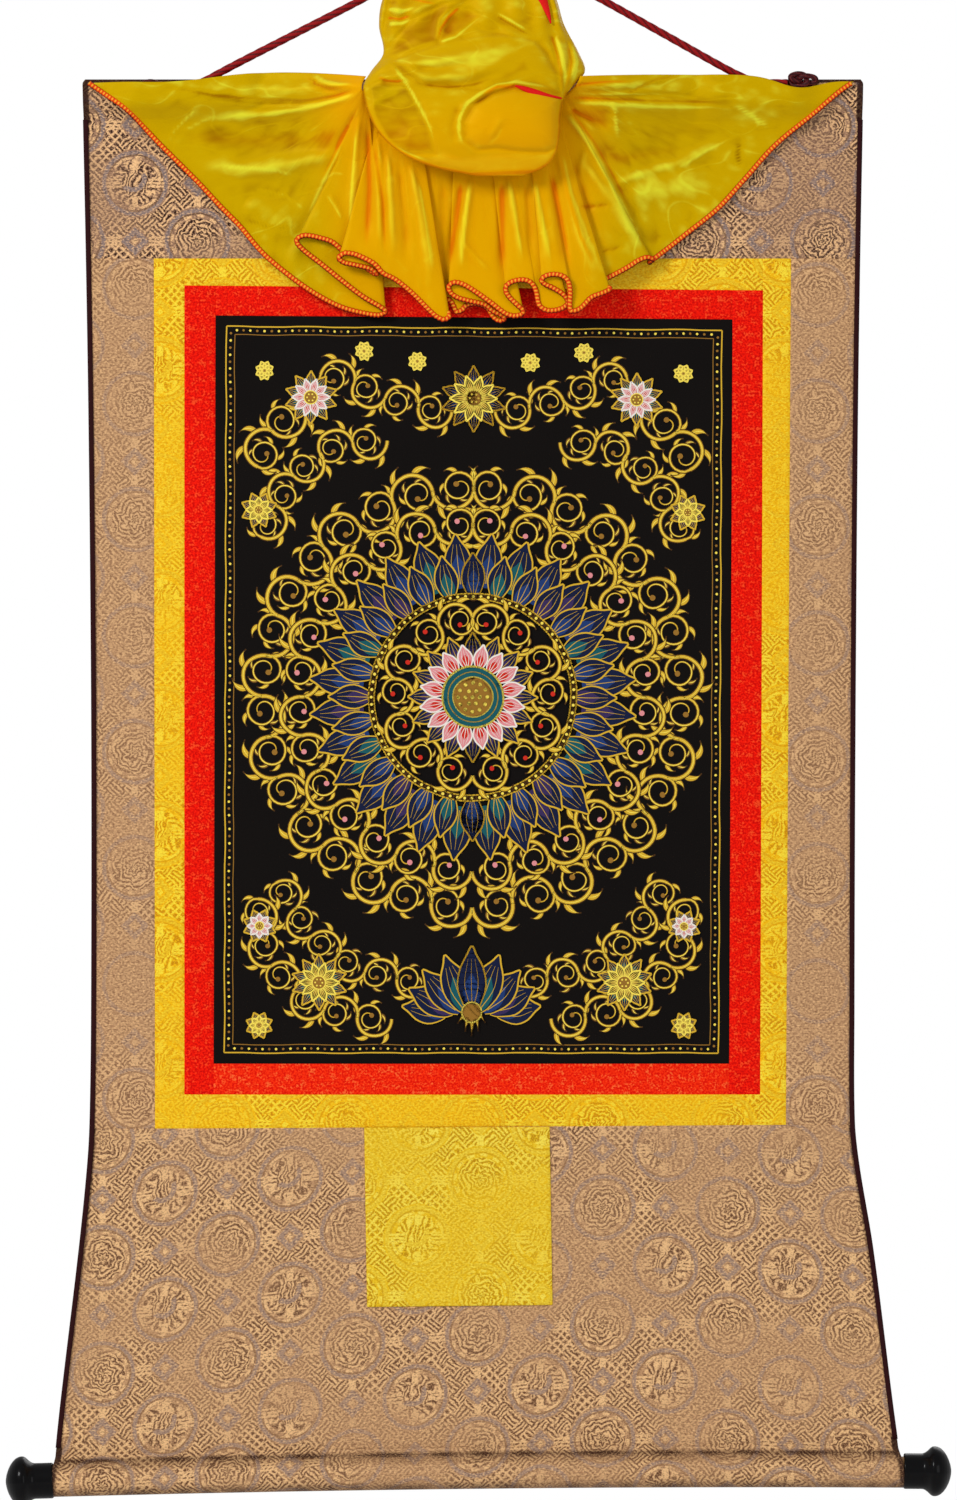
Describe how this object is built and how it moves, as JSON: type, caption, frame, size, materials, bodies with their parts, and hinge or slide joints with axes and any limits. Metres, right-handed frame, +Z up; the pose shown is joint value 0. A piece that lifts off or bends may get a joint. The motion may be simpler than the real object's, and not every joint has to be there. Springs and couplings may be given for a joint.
{
  "type": "thangka tapestry with hanging cord, top batten and bottom dowel",
  "caption": "Hanging scroll: dark picture cloth in red and gold borders on copper brocade, with a gathered yellow satin cover, hanging cord and knobbed bottom dowel.",
  "frame": {"origin": "where a nail carries the hanging cord, at the underside of the cord's highest point", "axes": "+Z up, the front faces -Y, +X to the viewer's right"},
  "size_m": [0.5694, 0.0638, 0.95],
  "materials": {
    "painting": "matt black cotton with gold and coloured line work",
    "red_silk": "red damask, satin sheen",
    "gold_silk": "yellow brocade, tone on tone",
    "brocade": "copper and grey brocade, slight metallic thread",
    "lining": "plain maroon cotton",
    "satin": "yellow satin, soft gloss",
    "thread": "orange overlock stitching",
    "ribbon": "red satin ribbon",
    "cord": "dark red woven cord",
    "knot": "dark red woven cord, pulled tight",
    "wood": "plain softwood",
    "lacquer": "black, high gloss"
  },
  "bodies": {
    "root": {"painting": "painting", "brocade_top": "brocade", "brocade_left": "brocade", "brocade_right": "brocade", "brocade_bottom": "brocade", "gold_patch": "gold_silk", "lining": "lining", "top_batten": "wood", "dowel": "wood", "knob_left": "lacquer", "knob_right": "lacquer", "hanging_cord": "cord", "cord_knot_left": "knot", "cord_knot_right": "knot", "veil": "satin", "veil_ribbon": "ribbon", "red_border_left": "red_silk", "gold_border_left": "gold_silk", "red_border_right": "red_silk", "gold_border_right": "gold_silk", "red_border_top": "red_silk", "gold_border_top": "gold_silk", "red_border_bottom": "red_silk", "gold_border_bottom": "gold_silk"}
  },
  "joints": []
}
